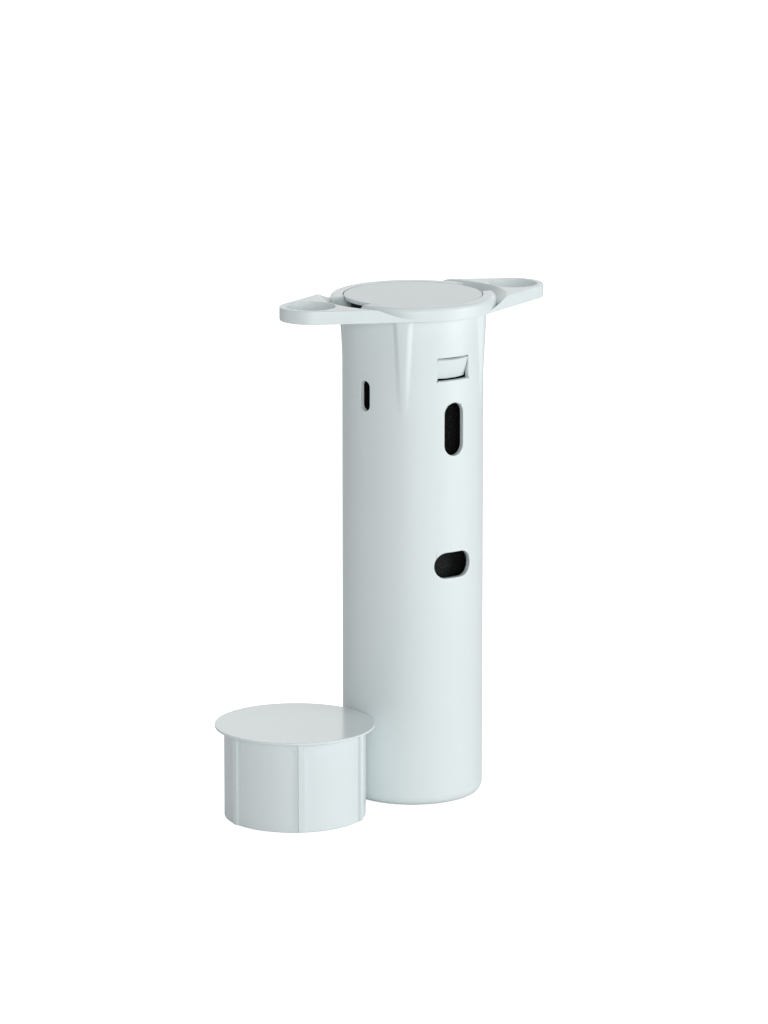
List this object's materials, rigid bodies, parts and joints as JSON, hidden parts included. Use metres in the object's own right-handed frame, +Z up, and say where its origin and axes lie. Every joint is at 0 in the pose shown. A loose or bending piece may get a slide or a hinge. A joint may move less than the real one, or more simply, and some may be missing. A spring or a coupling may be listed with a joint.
{
  "type": "tubular fire blanket case",
  "caption": "Flanged plastic tube with two eared mounting lugs and a press-in lid, holding a rolled black fire blanket; a loose ribbed cap with a flat top and a thin lip stands beside it.",
  "frame": {"origin": "centre of the tube's flat base, on the surface that the case stands on", "axes": "+Z up the tube towards the lid; the two ears of the flange lie along X; the row of openings in the tube faces -Y"},
  "size_m": [0.1891, 0.089, 0.2531],
  "materials": {
    "case_plastic": "pale cool grey moulded plastic, satin to gloss",
    "lid_plastic": "pale cool grey moulded plastic, satin",
    "cap_plastic": "pale cool grey moulded plastic, satin",
    "blanket_cloth": "black woven glass-fibre cloth",
    "tape_webbing": "black woven webbing"
  },
  "bodies": {
    "case": {"case_body": "case_plastic"},
    "tab": {"snap_tab": "case_plastic"},
    "blanket": {"blanket_roll": "blanket_cloth", "pull_tape_left": "tape_webbing", "pull_tape_right": "tape_webbing"},
    "lid": {"lid": "lid_plastic"},
    "cap": {"ribbed_cap": "cap_plastic"}
  },
  "joints": [
    {"name": "tab_flex", "type": "hinge", "parent": "case", "child": "tab", "pos_m": [0.00155, -0.03296, 0.22595], "axis": [-0.9989, -0.0471, 0], "range_deg": [-2, 20], "stiffness_Nm_per_rad": 0.05},
    {"name": "blanket_pull", "type": "slide", "parent": "case", "child": "blanket", "axis": [0, 0, 1], "range_m": [0, 0.26]},
    {"name": "lid_lift", "type": "slide", "parent": "blanket", "child": "lid", "axis": [0, 0, 1], "range_m": [0, 0.08]},
    {"name": "cap_set_aside", "type": "slide", "parent": "case", "child": "cap", "axis": [-0.994, -0.1097, 0], "range_m": [0, 0.12]}
  ]
}
